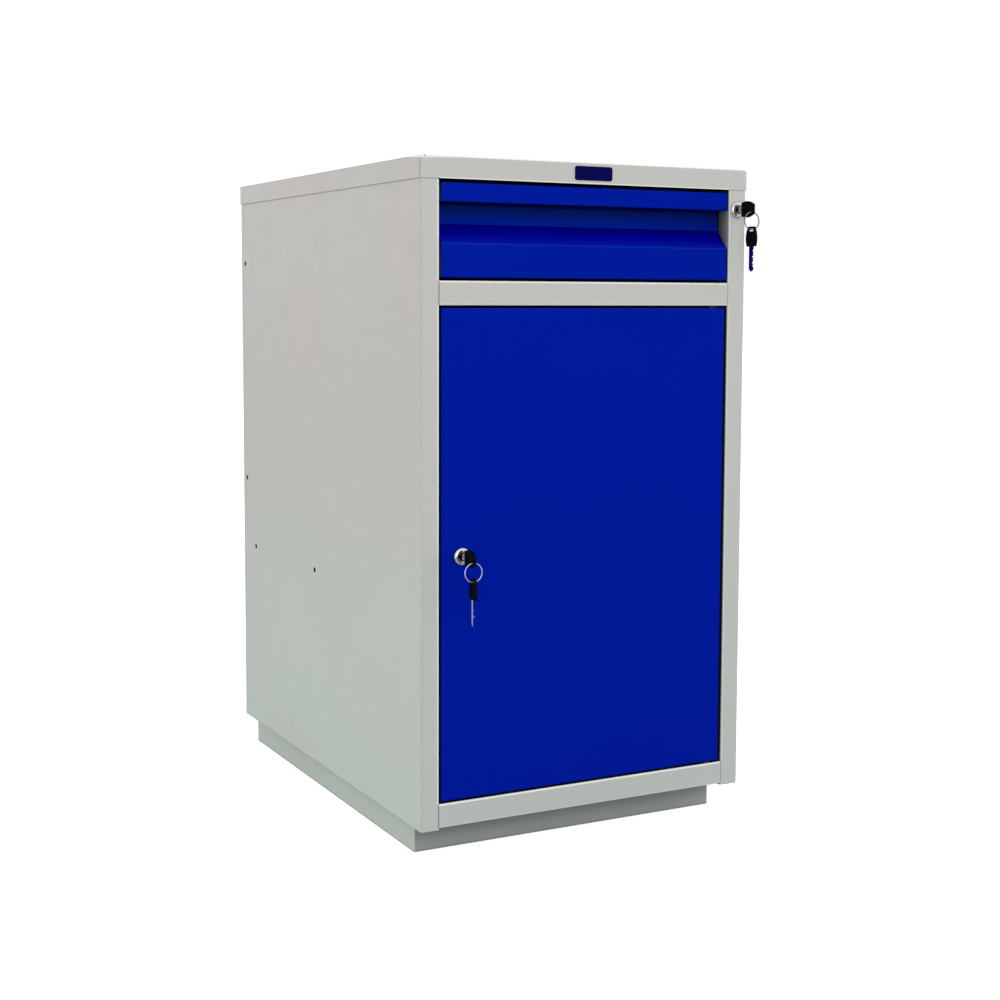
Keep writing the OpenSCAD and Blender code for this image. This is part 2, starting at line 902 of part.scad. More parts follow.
// Locks. Each piece is drawn round the lock's axis, with y = 0 at the sheet's face.
module lock_housing() {
    color(chrome)
        rotate([-90, 0, 0])
            rotate_extrude()
                polygon([
                    [plug_r + shaft_slack, barrel_len - 0.2],
                    [plug_r + shaft_slack, -1.2],
                    [bezel_r - 3.4, -1.2],
                    [bezel_r - 3.1, -bezel_proud + 0.3],
                    [bezel_r - 2.3, -bezel_proud],
                    [bezel_r - 1, -bezel_proud + 0.5],
                    [bezel_r, -bezel_proud + 1.5],
                    [bezel_r, 0],
                    [barrel_r, 0],
                    [barrel_r, barrel_len - 0.2]
                ]);
}

module lock_nut(plate)
    color(zinc)
        difference() {
            along_y(plate, plate + nut_h)
                intersection() {
                    rotate(30)
                        circle(r = nut_flats / sqrt(3), $fn = 6);
                    circle(r = nut_flats / sqrt(3) - 0.3);
                }
            bar_y(barrel_r + fixed_slack, plate - 1, plate + nut_h + 1);
        }

module lock_plug()
    color(chrome)
        difference() {
            union() {
                bar_y(plug_r, -bezel_proud + 0.6, barrel_len);
                block([-stud / 2, stud / 2], [barrel_len - eps, barrel_len + cam_t], [-stud / 2, stud / 2]);
                bar_y(stud_r, barrel_len + cam_t - eps, barrel_len + cam_t + cam_nut_h + 1);
            }
            block([-blade_t / 2 - keyway_slack, blade_t / 2 + keyway_slack], [-bezel_proud, keyway_end],
                [-blade_w / 2 - keyway_slack, blade_w / 2 + keyway_slack]);
        }

// The cam hangs down when the lock is open
module lock_cam()
    color(zinc)
        along_y(barrel_len, barrel_len + cam_t)
            difference() {
                union() {
                    circle(r = cam_hub_r);
                    translate([-cam_w / 2, cam_w / 4 - cam_reach])
                        square([cam_w, cam_reach - cam_w / 4]);
                    translate([-cam_w / 4, -cam_reach])
                        square([cam_w / 2, cam_w / 4 + eps]);
                    for (way = [-1, 1])
                        translate([way * cam_w / 4, cam_w / 4 - cam_reach])
                            circle(r = cam_w / 4);
                }
                translate([-stud / 2, -stud / 2])
                    square(stud);
            }

module cam_nut()
    color(zinc)
        difference() {
            along_y(barrel_len + cam_t, barrel_len + cam_t + cam_nut_h)
                circle(r = cam_nut_flats / sqrt(3), $fn = 6);
            bar_y(stud_r + fixed_slack, barrel_len, barrel_len + cam_t + cam_nut_h + 2);
        }

// Keys. A key is drawn flat: x across its width, y along it from the shoulder, head up and blade down.
key_belly = 9;
key_curve = 0.024;
key_corner = 1.6;
function key_half(l) = key_w / 2 - key_curve * pow(l - key_belly, 2);
function key_side() =
    [
        for (l = [0 : 1.5 : key_head_len - key_corner]) [key_half(l), l],
        for (k = [0 : fold_steps])
            [key_half(key_head_len - key_corner) - key_corner, key_head_len - key_corner]
                + turned([key_corner, 0], 90 * k / fold_steps)
    ];

module key_head_flat()
    difference() {
        polygon(concat(key_side(), reversed([for (p = key_side()) [-p.x, p.y]])));
        translate([-eye_half + eye_len / 2, eye_l - eye_len / 2])
            square([2 * eye_half - eye_len, eye_len]);
        for (way = [-1, 1])
            translate([way * (eye_half - eye_len / 2), eye_l])
                circle(r = eye_len / 2);
    }

module key_head()
    difference() {
        translate([0, 0, -key_head_t / 2])
            linear_extrude(key_head_t)
                key_head_flat();
        block([-blade_w / 2, blade_w / 2], [-1, tang_len], [-blade_t / 2, blade_t / 2]);
    }

module key_blade()
    translate([0, 0, -blade_t / 2])
        linear_extrude(blade_t)
            difference() {
                polygon([
                    [-blade_w / 2, tang_len],
                    [-blade_w / 2, 2 - blade_len],
                    [0, -blade_len],
                    [blade_w / 2, 3 - blade_len],
                    [blade_w / 2, tang_len]
                ]);
                for (i = [0 : len(cuts) - 1])
                    translate([-blade_w / 2, -cut_first - i * cut_pitch])
                        polygon([[-1, 0.8 + 1], [cuts[i], 0.5], [cuts[i], -0.5], [-1, -0.8 - 1]]);
            }

module inserted()
    translate([0, -key_out, 0])
        rotate([0, -90, 180])
            children();

module hanging(turn = 0)
    translate([0, ring_y, spare_z])
        rotate([0, 0, turn])
            rotate([90, 0, 90])
                children();

module key_ring()
    color(steel)
        translate([0, ring_y, ring_z])
            rotate([90, 0, 0])
                rotate_extrude()
                    translate([ring_r, 0])
                        circle(r = wire_r, $fn = 24);

module drawer_lock_housing()
    translate(drawer_lock)
        lock_housing();

module drawer_lock_nut()
    translate(drawer_lock)
        lock_nut(sheet);

module drawer_lock_plug()
    translate(drawer_lock)
        lock_plug();

module drawer_lock_cam()
    translate(drawer_lock)
        lock_cam();

module drawer_cam_nut()
    translate(drawer_lock)
        cam_nut();

module drawer_key_head()
    color(black)
        translate(drawer_lock)
            inserted()
                key_head();

module drawer_key_blade()
    color(steel)
        translate(drawer_lock)
            inserted()
                key_blade();

module drawer_key_ring()
    translate(drawer_lock)
        key_ring();

module drawer_spare_head()
    color(black)
        translate(drawer_lock)
            hanging()
                key_head();

module drawer_spare_blade()
    color(navy)
        translate(drawer_lock)
            hanging()
                key_blade();

module door_lock_housing()
    translate(door_lock)
        lock_housing();

module door_lock_nut()
    translate(door_lock)
        lock_nut(door_sheet);

module door_lock_plug()
    translate(door_lock)
        lock_plug();

module door_lock_cam()
    translate(door_lock)
        lock_cam();

module door_cam_nut()
    translate(door_lock)
        cam_nut();

module door_key_head()
    color(black)
        translate(door_lock)
            inserted()
                key_head();

module door_key_blade()
    color(steel)
        translate(door_lock)
            inserted()
                key_blade();

module door_key_ring()
    translate(door_lock)
        key_ring();

module door_spare_head()
    color(black)
        translate(door_lock)
            hanging(door_spare_turn)
                key_head();

module door_spare_blade()
    color(steel)
        translate(door_lock)
            hanging(door_spare_turn)
                key_blade();

left_side_panel();
right_side_panel();
back_panel();
top_cap();
plinth();
bottom_panel();
bottom_rail();
mid_rail();
divider_panel();
shelf();
shelf_bearers();
name_plate();
slide_bracket_left();
slide_bracket_right();
slide_outer_left();
slide_outer_right();
bracket_screws();
hinge_pin_lower();
hinge_pin_upper();
hinge_washer();
drawer_front();
drawer_liner();
drawer_tray();
drawer_back();
slide_inner_left();
slide_inner_right();
drawer_screws();
slide_middle_left();
slide_middle_right();
ball_cages_outer();
ball_cages_inner();
door_panel();
door_stiffener();
door_hinge_bushes();
drawer_lock_housing();
drawer_lock_nut();
drawer_lock_plug();
drawer_lock_cam();
drawer_cam_nut();
drawer_key_head();
drawer_key_blade();
drawer_key_ring();
drawer_spare_head();
drawer_spare_blade();
door_lock_housing();
door_lock_nut();
door_lock_plug();
door_lock_cam();
door_cam_nut();
door_key_head();
door_key_blade();
door_key_ring();
door_spare_head();
door_spare_blade();
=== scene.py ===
"""Looks of the tool drawer cabinet: its coats and metals, and the worked edges of its sheets."""

import json
import math

import bmesh
import bpy
from mathutils import Matrix, Vector

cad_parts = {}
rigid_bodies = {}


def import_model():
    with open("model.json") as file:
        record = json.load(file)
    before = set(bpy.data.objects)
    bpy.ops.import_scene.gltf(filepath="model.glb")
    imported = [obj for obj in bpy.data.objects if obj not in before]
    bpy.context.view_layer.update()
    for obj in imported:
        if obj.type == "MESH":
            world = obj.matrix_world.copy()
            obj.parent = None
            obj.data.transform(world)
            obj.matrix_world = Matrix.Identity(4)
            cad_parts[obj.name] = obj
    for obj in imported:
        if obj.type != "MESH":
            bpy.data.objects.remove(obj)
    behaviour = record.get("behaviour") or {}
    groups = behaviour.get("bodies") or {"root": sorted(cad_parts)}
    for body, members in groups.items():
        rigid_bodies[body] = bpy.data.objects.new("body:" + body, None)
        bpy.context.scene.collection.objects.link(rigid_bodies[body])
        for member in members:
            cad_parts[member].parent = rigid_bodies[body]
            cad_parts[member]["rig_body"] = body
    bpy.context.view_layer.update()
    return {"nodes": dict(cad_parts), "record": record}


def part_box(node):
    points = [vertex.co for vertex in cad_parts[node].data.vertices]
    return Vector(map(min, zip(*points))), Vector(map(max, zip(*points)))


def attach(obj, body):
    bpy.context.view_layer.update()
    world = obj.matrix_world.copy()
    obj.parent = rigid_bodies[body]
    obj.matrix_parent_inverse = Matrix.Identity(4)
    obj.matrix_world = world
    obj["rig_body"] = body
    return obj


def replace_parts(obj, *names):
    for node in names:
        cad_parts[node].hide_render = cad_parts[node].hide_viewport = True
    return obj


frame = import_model()
nodes = frame["nodes"]

X, Y, Z = range(3)
MM = 0.001
# The plane of the stiles' and rails' fronts
FRONT_Y = -0.279
# Heights on the drawer front: its upper band's foot, the foot of the grip's back wall, the front of its slope
BAND_FOOT, GRIP_FOOT, GRIP_EDGE = 0.6877, 0.6660, 0.6454


# Shader helpers

# The sockets of a Mix node that mixes colours
MIX_FACTOR, MIX_LOW, MIX_HIGH, MIX_RESULT = 0, 6, 7, 2


def new_group(name, inputs, outputs):
    """A shader node group with the given float inputs (name: default) and outputs."""
    group = bpy.data.node_groups.new(name, "ShaderNodeTree")
    for label, default in inputs.items():
        socket = group.interface.new_socket(name=label, in_out="INPUT", socket_type="NodeSocketFloat")
        socket.default_value = default
    for label, kind in outputs.items():
        group.interface.new_socket(name=label, in_out="OUTPUT", socket_type=kind)
    entry = group.nodes.new("NodeGroupInput")
    leave = group.nodes.new("NodeGroupOutput")
    return group, entry, leave


def add(tree, kind, **settings):
    """A node of that kind with its properties and unlinked inputs set."""
    node = tree.nodes.new(kind)
    for label, value in settings.items():
        if hasattr(node, label):
            setattr(node, label, value)
        else:
            node.inputs[label.replace("_", " ")].default_value = value
    return node


def maths(tree, operation, *values):
    """A Math node fed by sockets or numbers; gives its output socket."""
    node = tree.nodes.new("ShaderNodeMath")
    node.operation = operation
    for slot, value in zip(node.inputs, values):
        if isinstance(value, (int, float)):
            slot.default_value = value
        else:
            tree.links.new(value, slot)
    return node.outputs[0]


def spread(tree, value, low, high, to_low=0.0, to_high=1.0):
    """Maps a socket from one range to another, held inside it."""
    node = tree.nodes.new("ShaderNodeMapRange")
    node.interpolation_type = "SMOOTHSTEP"
    tree.links.new(value, node.inputs["Value"])
    node.inputs["From Min"].default_value = low
    node.inputs["From Max"].default_value = high
    node.inputs["To Min"].default_value = to_low
    node.inputs["To Max"].default_value = to_high
    return node.outputs["Result"]


def noise_at(tree, vector, scale, detail=2.0, roughness=0.5):
    """A Noise Texture's value on that vector; scale is a number or a socket."""
    node = add(tree, "ShaderNodeTexNoise", Detail=detail, Roughness=roughness)
    tree.links.new(vector, node.inputs["Vector"])
    if isinstance(scale, (int, float)):
        node.inputs["Scale"].default_value = scale
    else:
        tree.links.new(scale, node.inputs["Scale"])
    return node.outputs[0]


def object_place(tree):
    """The place on the piece, in metres."""
    return tree.nodes.new("ShaderNodeTexCoord").outputs["Object"]


def stretched(tree, vector, scale):
    """That vector with each axis scaled."""
    node = tree.nodes.new("ShaderNodeMapping")
    node.inputs["Scale"].default_value = scale
    tree.links.new(vector, node.inputs["Vector"])
    return node.outputs[0]


# Effects that several finishes share

def make_orange_peel():
    """The shallow ripple of sprayed powder coat, with a finer grain on it."""
    group, entry, leave = new_group("orange_peel", {"Cells per metre": 420.0, "Grain": 0.25},
                                    {"Height": "NodeSocketFloat"})
    place = object_place(group)
    ripple = noise_at(group, place, entry.outputs["Cells per metre"], detail=1.5)
    fine_scale = maths(group, "MULTIPLY", entry.outputs["Cells per metre"], 5.0)
    grain = noise_at(group, place, fine_scale, detail=1.0)
    grain = maths(group, "MULTIPLY", grain, entry.outputs["Grain"])
    group.links.new(maths(group, "ADD", ripple, grain), leave.inputs["Height"])
    return group


def make_tone_drift():
    """Slow change of tone over a sheet, from 0 to 1."""
    group, entry, leave = new_group("tone_drift", {"Patches per metre": 4.0}, {"Tone": "NodeSocketFloat"})
    patches = noise_at(group, object_place(group), entry.outputs["Patches per metre"], detail=3.0)
    group.links.new(spread(group, patches, 0.3, 0.7), leave.inputs["Tone"])
    return group


def make_handling_marks():
    """Thin scuffs left by handling: long noise cells cut down to hairlines."""
    group, entry, leave = new_group("handling_marks", {"Amount": 0.5}, {"Mark": "NodeSocketFloat"})
    place = object_place(group)
    level = noise_at(group, stretched(group, place, (9.0, 9.0, 260.0)), 1.0, detail=3.0, roughness=0.6)
    slanted = noise_at(group, stretched(group, place, (170.0, 170.0, 14.0)), 1.0, detail=3.0, roughness=0.6)
    hair = maths(group, "MAXIMUM", spread(group, level, 0.66, 0.72), spread(group, slanted, 0.68, 0.74))
    where = spread(group, noise_at(group, place, 6.0, detail=2.0), 0.45, 0.7)
    mark = maths(group, "MULTIPLY", maths(group, "MULTIPLY", hair, where), entry.outputs["Amount"])
    group.links.new(mark, leave.inputs["Mark"])
    return group


def make_drawn_streaks():
    """Fine streaks of rolled or drawn steel, along Y."""
    group, entry, leave = new_group("drawn_streaks", {"Streaks per metre": 1800.0},
                                    {"Streak": "NodeSocketFloat"})
    place = stretched(group, object_place(group), (1.0, 0.02, 1.0))
    streak = noise_at(group, place, entry.outputs["Streaks per metre"], detail=3.0, roughness=0.7)
    group.links.new(spread(group, streak, 0.3, 0.7), leave.inputs["Streak"])
    return group


def make_zinc_bloom():
    """Cloudy patches of bright zinc plate."""
    group, entry, leave = new_group("zinc_bloom", {"Patches per metre": 90.0}, {"Bloom": "NodeSocketFloat"})
    place, patches = object_place(group), entry.outputs["Patches per metre"]
    cells = add(group, "ShaderNodeTexVoronoi")
    group.links.new(place, cells.inputs["Vector"])
    group.links.new(patches, cells.inputs["Scale"])
    cloud = noise_at(group, place, maths(group, "MULTIPLY", patches, 0.6), detail=4.0)
    both = maths(group, "ADD", maths(group, "MULTIPLY", cells.outputs["Distance"], 0.35), cloud)
    group.links.new(spread(group, both, 0.4, 0.9), leave.inputs["Bloom"])
    return group


orange_peel = make_orange_peel()
tone_drift = make_tone_drift()
handling_marks = make_handling_marks()
drawn_streaks = make_drawn_streaks()
zinc_bloom = make_zinc_bloom()


class Finish:
    """One material: its Principled shader, and the links that the finishes below make."""

    def __init__(self, name, **settings):
        self.material = bpy.data.materials.new(name)
        self.material.use_nodes = True
        self.tree = self.material.node_tree
        self.shader = self.tree.nodes["Principled BSDF"]
        for label, value in settings.items():
            self.shader.inputs[label.replace("_", " ")].default_value = value

    def effect(self, group, **values):
        """A shared effect placed in this material; gives its output socket."""
        node = self.tree.nodes.new("ShaderNodeGroup")
        node.node_tree = group
        for label, value in values.items():
            node.inputs[label.replace("_", " ")].default_value = value
        return node.outputs[0]

    def blend(self, factor, low, high):
        """Mixes two colours, each a tuple or a socket."""
        mix = self.tree.nodes.new("ShaderNodeMix")
        mix.data_type = "RGBA"
        self.tree.links.new(factor, mix.inputs[MIX_FACTOR])
        for socket, value in ((mix.inputs[MIX_LOW], low), (mix.inputs[MIX_HIGH], high)):
            if isinstance(value, tuple):
                socket.default_value = (*value, 1.0)
            else:
                self.tree.links.new(value, socket)
        return mix.outputs[MIX_RESULT]

    def colour(self, socket):
        """Feeds the base colour."""
        self.tree.links.new(socket, self.shader.inputs["Base Color"])

    def roughness(self, factor, low, high):
        """Roughness from low to high as the factor goes from 0 to 1."""
        self.tree.links.new(spread(self.tree, factor, 0.0, 1.0, low, high), self.shader.inputs["Roughness"])

    def bump(self, height, strength, depth):
        """Relief of that depth in metres."""
        node = add(self.tree, "ShaderNodeBump", Strength=strength, Distance=depth)
        self.tree.links.new(height, node.inputs["Height"])
        self.tree.links.new(node.outputs[0], self.shader.inputs["Normal"])

    def mask(self, name):
        """The piece's own face attribute of that name, from 0 to 1."""
        return add(self.tree, "ShaderNodeAttribute", attribute_name=name).outputs["Fac"]

    def axis_of(self, output, axis):
        """One axis of the piece's own place ("Object") or normal ("Normal")."""
        parts = self.tree.nodes.new("ShaderNodeSeparateXYZ")
        self.tree.links.new(self.tree.nodes.new("ShaderNodeTexCoord").outputs[output], parts.inputs[0])
        return parts.outputs[axis]

    def facing(self, axis, low, high):
        """From 0 to 1 as the piece's own normal goes from low to high along that axis."""
        return spread(self.tree, self.axis_of("Normal", axis), low, high)

    def rise(self, low_z, high_z):
        """From 0 to 1 between two heights in metres."""
        return spread(self.tree, self.axis_of("Object", "Z"), low_z, high_z)


# How much of a bend's painted highlight, of the slow drift and of handling marks a coat shows
HIGHLIGHT_SHARE, DRIFT_SHARE, MARK_SHARE = 0.9, 0.5, 0.12
# Heights between which the coats change their tone as painted light, on the body and on its side walls
BODY_LIGHT_RISE, WALL_LIGHT_RISE = (0.03, 0.73), (0.03, 0.62)
# The same for the painted shade on the plinth's front, and for the painted shadow line on its side right
# below the body
EAVES_SHADE_RISE, EAVES_SHADOW_LINE = (0.006, 0.021), (0.0278, 0.0300)


def powder_coat(name, low, high, drift, scuff_and_highlight_tone, walls=None, eaves=None, grip=False, **settings):
    """Powder coat whose tone goes from low at the foot to high at the cap, as painted light.

    walls has the low and high tones of the side walls, painted light that sets them apart from the front.
    eaves has the painted shade of a set-back foot: its front low and high, and a painted shadow on its side
    right below the body. grip adds the painted shade of the drawer's finger grip.
    """
    coat = Finish(name, **settings)
    tree = coat.tree
    # Painted light: the tone goes from low to high with height
    body = coat.blend(coat.rise(*BODY_LIGHT_RISE), low, high)
    if walls:
        # Painted light: faces turned sideways take the side walls' own low and high tones
        side_light_share = spread(tree, maths(tree, "ABSOLUTE", coat.axis_of("Normal", "X")), 0.6, 0.95)
        body = coat.blend(side_light_share, body, coat.blend(coat.rise(*WALL_LIGHT_RISE), *walls))
    patches = maths(tree, "MULTIPLY", coat.effect(tone_drift, Patches_per_metre=5.0), DRIFT_SHARE)
    body = coat.blend(patches, body, drift)
    if eaves:
        # Painted shade on the set-back front, and a painted shadow line on the side right below the body
        front = coat.blend(coat.rise(*EAVES_SHADE_RISE), eaves[0], eaves[1])
        side = coat.blend(coat.rise(*EAVES_SHADOW_LINE), body, eaves[2])
        body = coat.blend(coat.facing("Y", -0.4, -0.95), side, front)
    # Painted shade in the drawer's finger grip
    if grip:
        body = shaded_grip(coat, body)
    # Painted highlight on the bends that a piece marks
    body = coat.blend(maths(tree, "MULTIPLY", coat.mask("fold"), HIGHLIGHT_SHARE), body, scuff_and_highlight_tone)
    # Painted shade, nearly black, where a piece marks it
    body = coat.blend(coat.mask("shade"), body, tuple(0.01 * c for c in high))
    # Real handling marks, in the same light tone as the painted highlight
    mark = maths(tree, "MULTIPLY", coat.effect(handling_marks, Amount=0.5), MARK_SHARE)
    coat.colour(coat.blend(mark, body, scuff_and_highlight_tone))
    coat.roughness(coat.effect(tone_drift, Patches_per_metre=30.0), 0.34, 0.44)
    coat.bump(coat.effect(orange_peel), 0.25, 0.06 * MM)
    return coat.material


# Painted shade of the grip: blues of its back wall, low, high and right under the band
GRIP_WALL_SHADE_BLUES = (0.0, 0.0115, 0.270), (0.0, 0.0110, 0.140), (0.0, 0.0012, 0.075)
# Painted shade of its slope: blues near the front, further in and deep inside
GRIP_SLOPE_SHADE_BLUES = (0.0, 0.0058, 0.290), (0.0, 0.0004, 0.262), (0.0, 0.0001, 0.180)


def shaded_grip(coat, body):
    """Painted shade on the grip's back wall, darkest under the band, and on the slope below it."""
    tree = coat.tree
    depth = coat.axis_of("Object", "Y")

    def inwards(near, far):
        return spread(tree, depth, FRONT_Y + near * MM, FRONT_Y + far * MM)
    wall = coat.blend(coat.rise(GRIP_FOOT, BAND_FOOT - 4 * MM), *GRIP_WALL_SHADE_BLUES[:2])
    wall = coat.blend(coat.rise(BAND_FOOT - 4.5 * MM, BAND_FOOT - 0.8 * MM), wall, GRIP_WALL_SHADE_BLUES[2])
    slope = coat.blend(inwards(1.2, 8.2), *GRIP_SLOPE_SHADE_BLUES[:2])
    slope = coat.blend(inwards(8.2, 16.3), slope, GRIP_SLOPE_SHADE_BLUES[2])
    # The grip's painted shade: the wall's tones on upright faces, the slope's on faces turned up
    deep = coat.blend(coat.facing("Z", 0.25, 0.6), wall, slope)
    return coat.blend(inwards(0.5, 2.2), body, deep)


def plated(name, dark, light, rough, patches=90.0, metallic=1.0, **settings):
    """Zinc or nickel plate: cloudy tone over fine drawn streaks."""
    plate = Finish(name, Metallic=metallic, **settings)
    bloom = plate.effect(zinc_bloom, Patches_per_metre=patches)
    plate.colour(plate.blend(bloom, dark, light))
    streak = plate.effect(drawn_streaks)
    halves = [maths(plate.tree, "MULTIPLY", part, 0.5) for part in (bloom, streak)]
    plate.roughness(maths(plate.tree, "ADD", *halves), *rough)
    plate.bump(streak, 0.15, 0.03 * MM)
    return plate.material


# The blue that a blade reflects from the blue door, painted
REFLECTED_DOOR_BLUE = (0.001, 0.008, 0.25)


def painted_door_reflection(material, low_y, high_y):
    """Gives the front side of a plated blade a deep blue, fading out between two places: a painted reflection
    of the blue door.
    """
    tree = material.node_tree
    shader = tree.nodes["Principled BSDF"]
    base = shader.inputs["Base Color"]
    steel = base.links[0].from_socket
    parts = tree.nodes.new("ShaderNodeSeparateXYZ")
    tree.links.new(object_place(tree), parts.inputs[0])
    mix = add(tree, "ShaderNodeMix", data_type="RGBA")
    mix.inputs[MIX_LOW].default_value = (*REFLECTED_DOOR_BLUE, 1.0)
    steel_share = spread(tree, parts.outputs["Y"], low_y, high_y)
    tree.links.new(steel_share, mix.inputs[MIX_FACTOR])
    metallic = shader.inputs["Metallic"]
    tree.links.new(maths(tree, "MULTIPLY", steel_share, metallic.default_value), metallic)
    tree.links.new(steel, mix.inputs[MIX_HIGH])
    tree.links.new(mix.outputs[MIX_RESULT], base)


def polished(name, tone, rough):
    """Chrome: nearly plain, with faint wipe marks in its gloss."""
    chrome = Finish(name, Metallic=1.0)
    mark = chrome.effect(handling_marks, Amount=1.0)
    chrome.colour(chrome.blend(mark, tone, tuple(0.9 * c for c in tone)))
    chrome.roughness(chrome.effect(tone_drift, Patches_per_metre=200.0), *rough)
    return chrome.material


def moulded(name, tone, worn, rough, grain, **settings):
    """Moulded plastic with a fine spark-eroded grain."""
    plastic = Finish(name, **settings)
    drift = plastic.effect(tone_drift, Patches_per_metre=120.0)
    body = plastic.blend(maths(plastic.tree, "MULTIPLY", drift, 0.4), tone, worn)
    # Painted highlight on bends that a piece marks, in the worn tone
    plastic.colour(plastic.blend(maths(plastic.tree, "MULTIPLY", plastic.mask("fold"), 0.5), body, worn))
    plastic.roughness(drift, *rough)
    plastic.bump(plastic.effect(orange_peel, Cells_per_metre=grain), 0.3, 0.04 * MM)
    return plastic.material


# Tones of each coat: low and high (painted light), drifting, and on a bend's painted highlight and scuffs
GREY = (0.490, 0.530, 0.495), (0.535, 0.532, 0.500), (0.510, 0.528, 0.496), (0.80, 0.82, 0.79)
# Painted light on the side walls: their own low and high tones
GREY_WALLS_PAINTED_LIGHT = (0.516, 0.590, 0.530), (0.528, 0.4985, 0.4835)
PLINTH = (0.500, 0.565, 0.508), (0.500, 0.565, 0.508), (0.480, 0.535, 0.485), (0.66, 0.70, 0.64)
# Painted shade of the plinth: its front low and high, and the shadow line on its side below the body
PLINTH_EAVES_SHADE = (0.345, 0.378, 0.355), (0.270, 0.297, 0.278), (0.20, 0.22, 0.20)
BLUE = (0.0, 0.0105, 0.322), (0.0, 0.0115, 0.342), (0.0, 0.0100, 0.318), (0.006, 0.027, 0.410)
finishes = {
    "grey_coat": powder_coat("grey_coat", *GREY, walls=GREY_WALLS_PAINTED_LIGHT),
    "plinth_coat": powder_coat("plinth_coat", *PLINTH, eaves=PLINTH_EAVES_SHADE),
    "blue_coat": powder_coat("blue_coat", *BLUE, Specular_IOR_Level=0.01),
    "navy_plate": moulded("navy_plate", (0.001, 0.001, 0.070), (0.003, 0.003, 0.095), (0.25, 0.35), 900.0,
                          Specular_IOR_Level=0.03),
    "zinc": plated("zinc_plate", (0.50, 0.52, 0.54), (0.68, 0.70, 0.72), (0.28, 0.45)),
    "bright_steel": plated("bright_steel", (0.42, 0.43, 0.52), (0.66, 0.67, 0.80), (0.16, 0.28), 300.0, 0.7),
    "chrome": polished("chrome_plate", (0.66, 0.65, 0.65), (0.06, 0.12)),
    "black_plastic": moulded("black_plastic", (0.0012, 0.0012, 0.0012), (0.006, 0.006, 0.006), (0.45, 0.55),
                             1400.0, Specular_IOR_Level=0.05),
    "blade_steel": plated("blade_steel", (0.26, 0.40, 0.62), (0.48, 0.62, 0.86), (0.25, 0.38), 700.0, 0.3,
                          Specular_IOR_Level=0.06),
    "blade_blue": moulded("blade_lacquer", (0.001, 0.001, 0.13), (0.004, 0.005, 0.20), (0.35, 0.45), 900.0,
                          Specular_IOR_Level=0.04),
    "nylon": moulded("bush_nylon", (0.010, 0.010, 0.011), (0.02, 0.02, 0.021), (0.4, 0.5), 800.0),
    "black_oxide": plated("black_oxide", (0.020, 0.020, 0.022), (0.05, 0.05, 0.055), (0.35, 0.5)),
}
# Looks of single pieces, which keep their slot
RING_STEELS = {
    "drawer": plated("worn_steel", (0.13, 0.13, 0.135), (0.26, 0.26, 0.27), (0.25, 0.4), 300.0, 0.7),
    "door": plated("ring_steel", (0.34, 0.37, 0.60), (0.58, 0.61, 0.92), (0.16, 0.28), 300.0, 0.6),
}
KEY_STEEL = plated("key_steel", (0.42, 0.41, 0.40), (0.62, 0.61, 0.60), (0.3, 0.42), 400.0, 0.3)
# The drawer front's blue, with the painted shade of its grip
BLUE_WITH_GRIP_SHADE = powder_coat("blue_coat_with_painted_grip_shade", *BLUE, grip=True, Specular_IOR_Level=0.01)
# The door's spare blade gets the painted reflection of the door on its front side
blade_low, blade_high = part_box("door_spare_blade")
blade_depth = blade_high.y - blade_low.y
painted_door_reflection(finishes["blade_steel"], blade_low.y + 0.30 * blade_depth, blade_low.y + 0.42 * blade_depth)
slot_of = {part["node"]: part["material_slot"] for part in frame["record"]["subparts"]}
for label, piece in nodes.items():
    piece.data.materials.clear()
    piece.data.materials.append(finishes[slot_of[label]])


# How the sheets' meshes are worked

cap_low, cap_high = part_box("top_cap")
rail_low, rail_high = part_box("bottom_rail")
OPEN_LEFT, OPEN_RIGHT = rail_low.x, rail_high.x


def joined_copy(label):
    """A CAD node's mesh with its loose triangles joined into whole faces."""
    bm = bmesh.new()
    bm.from_mesh(nodes[label].data)
    bmesh.ops.remove_doubles(bm, verts=bm.verts, dist=2e-6)
    bmesh.ops.dissolve_limit(bm, angle_limit=math.radians(1.0), verts=bm.verts, edges=bm.edges)
    return bm


def along(axis):
    """The direction of an axis."""
    return Vector([float(axis == k) for k in range(3)])


def cut_faces(bm, faces, place, across):
    """Cuts those faces by the plane through a place, square to a direction."""
    geom = faces + list({e for f in faces for e in f.edges}) + list({v for f in faces for v in f.verts})
    bmesh.ops.bisect_plane(bm, geom=geom, plane_co=place, plane_no=across, dist=1e-6)


def cut_across(bm, axis, places, chosen=lambda face: True):
    """Cuts the chosen faces by planes across an axis."""
    for place in places:
        cut_faces(bm, [f for f in bm.faces if chosen(f)], along(axis) * place, along(axis))


def press_line(bm, axis, low, high, chosen, depth, slant=0.03 * MM):
    """Presses a groove between two planes across an axis into the chosen faces; gives its faces."""
    cut_across(bm, axis, (low, high), chosen)
    strip = [f for f in bm.faces if chosen(f) and low < f.calc_center_median()[axis] < high]
    return strip + sink(bm, strip, slant, depth)


def sink(bm, faces, slant, depth):
    """Sinks a patch of faces, with walls that slant by that much; gives the walls."""
    made = bmesh.ops.inset_region(bm, faces=faces, thickness=slant, depth=-depth, use_even_offset=True)
    return made["faces"]


def round_edges(bm, radius, segments):
    """Rounds every edge sharper than 30 degrees."""
    sharp = [e for e in bm.edges if e.is_manifold and e.calc_face_angle(0) > math.radians(30.0)]
    bmesh.ops.bevel(bm, geom=sharp, offset=radius, offset_type="OFFSET", segments=segments, profile=0.5,
                    affect="EDGES", clamp_overlap=True, material=-1)
    bmesh.ops.recalc_face_normals(bm, faces=bm.faces)


PLAIN = (0.0, 0.0)
# Painted shade in the grooves pressed into the sheets
GROOVE_SHADE = 0.7


def bright(level):
    """What a bend with a painted highlight has in the attributes of painted highlight and painted shade."""
    return level, 0.0


